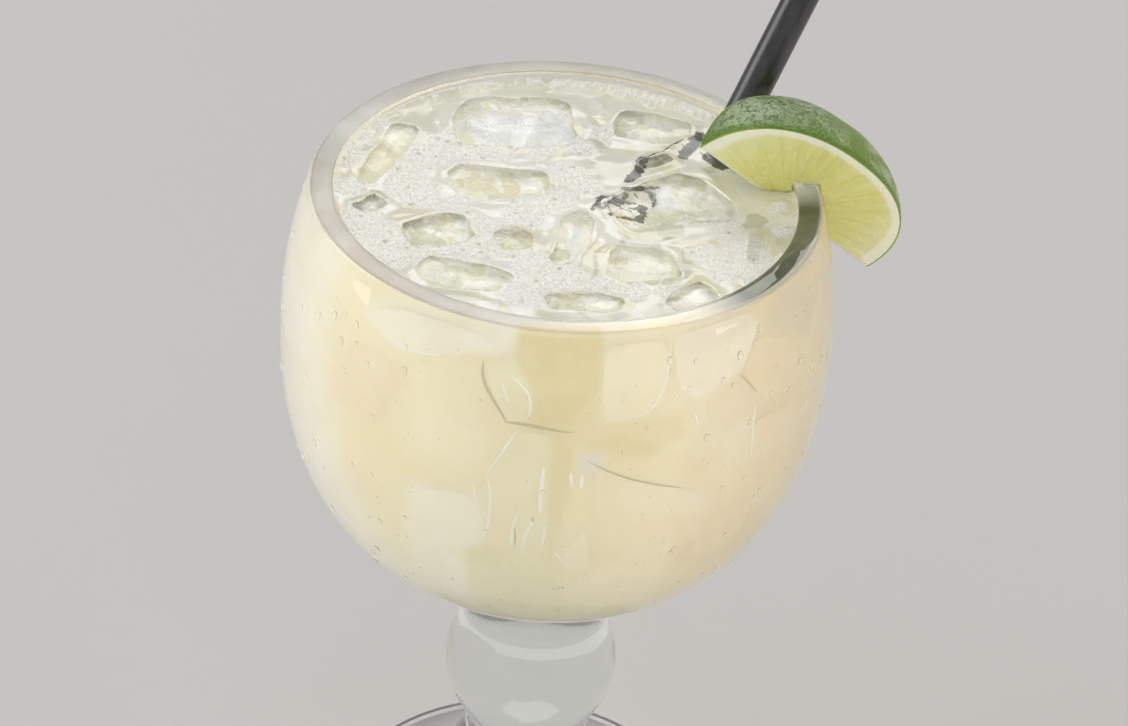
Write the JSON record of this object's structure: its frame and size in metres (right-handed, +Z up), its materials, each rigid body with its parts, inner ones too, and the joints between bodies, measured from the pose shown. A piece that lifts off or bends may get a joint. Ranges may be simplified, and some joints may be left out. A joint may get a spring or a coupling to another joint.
{
  "type": "margarita on the rocks",
  "caption": "Pale cloudy lime cocktail over ice in a heavy stemmed schooner goblet, with a dark straw and a lime wedge on the rim.",
  "frame": {"origin": "centre of the foot's underside, where the goblet rests", "axes": "+Z is up along the goblet's axis and the object's longest extent; +X is towards the lime wedge on the rim; the straw leans on the rim between +X and +Y; -Z is the resting face's outward normal"},
  "size_m": [0.1311, 0.1152, 0.269],
  "materials": {
    "clear_glass": "clear polished soda-lime glass, slightly misted and beaded with condensation",
    "margarita": "cloudy pale yellow-green liquid with a wet, foamy surface",
    "clear_ice": "wet melting ice, clear with cloudy patches",
    "lime_flesh": "wet yellow-green flesh with a pale pith line and mottled green skin",
    "dark_plastic": "smooth dark drinking-straw plastic"
  },
  "bodies": {
    "root": {"glass": "clear_glass", "drink": "margarita", "ice_01": "clear_ice", "ice_02": "clear_ice", "ice_03": "clear_ice", "ice_04": "clear_ice", "ice_05": "clear_ice", "ice_06": "clear_ice", "ice_07": "clear_ice", "ice_08": "clear_ice", "ice_09": "clear_ice", "ice_10": "clear_ice", "ice_11": "clear_ice", "ice_12": "clear_ice", "ice_13": "clear_ice", "ice_14": "clear_ice", "ice_15": "clear_ice", "lime_wedge": "lime_flesh", "straw": "dark_plastic"}
  },
  "joints": []
}
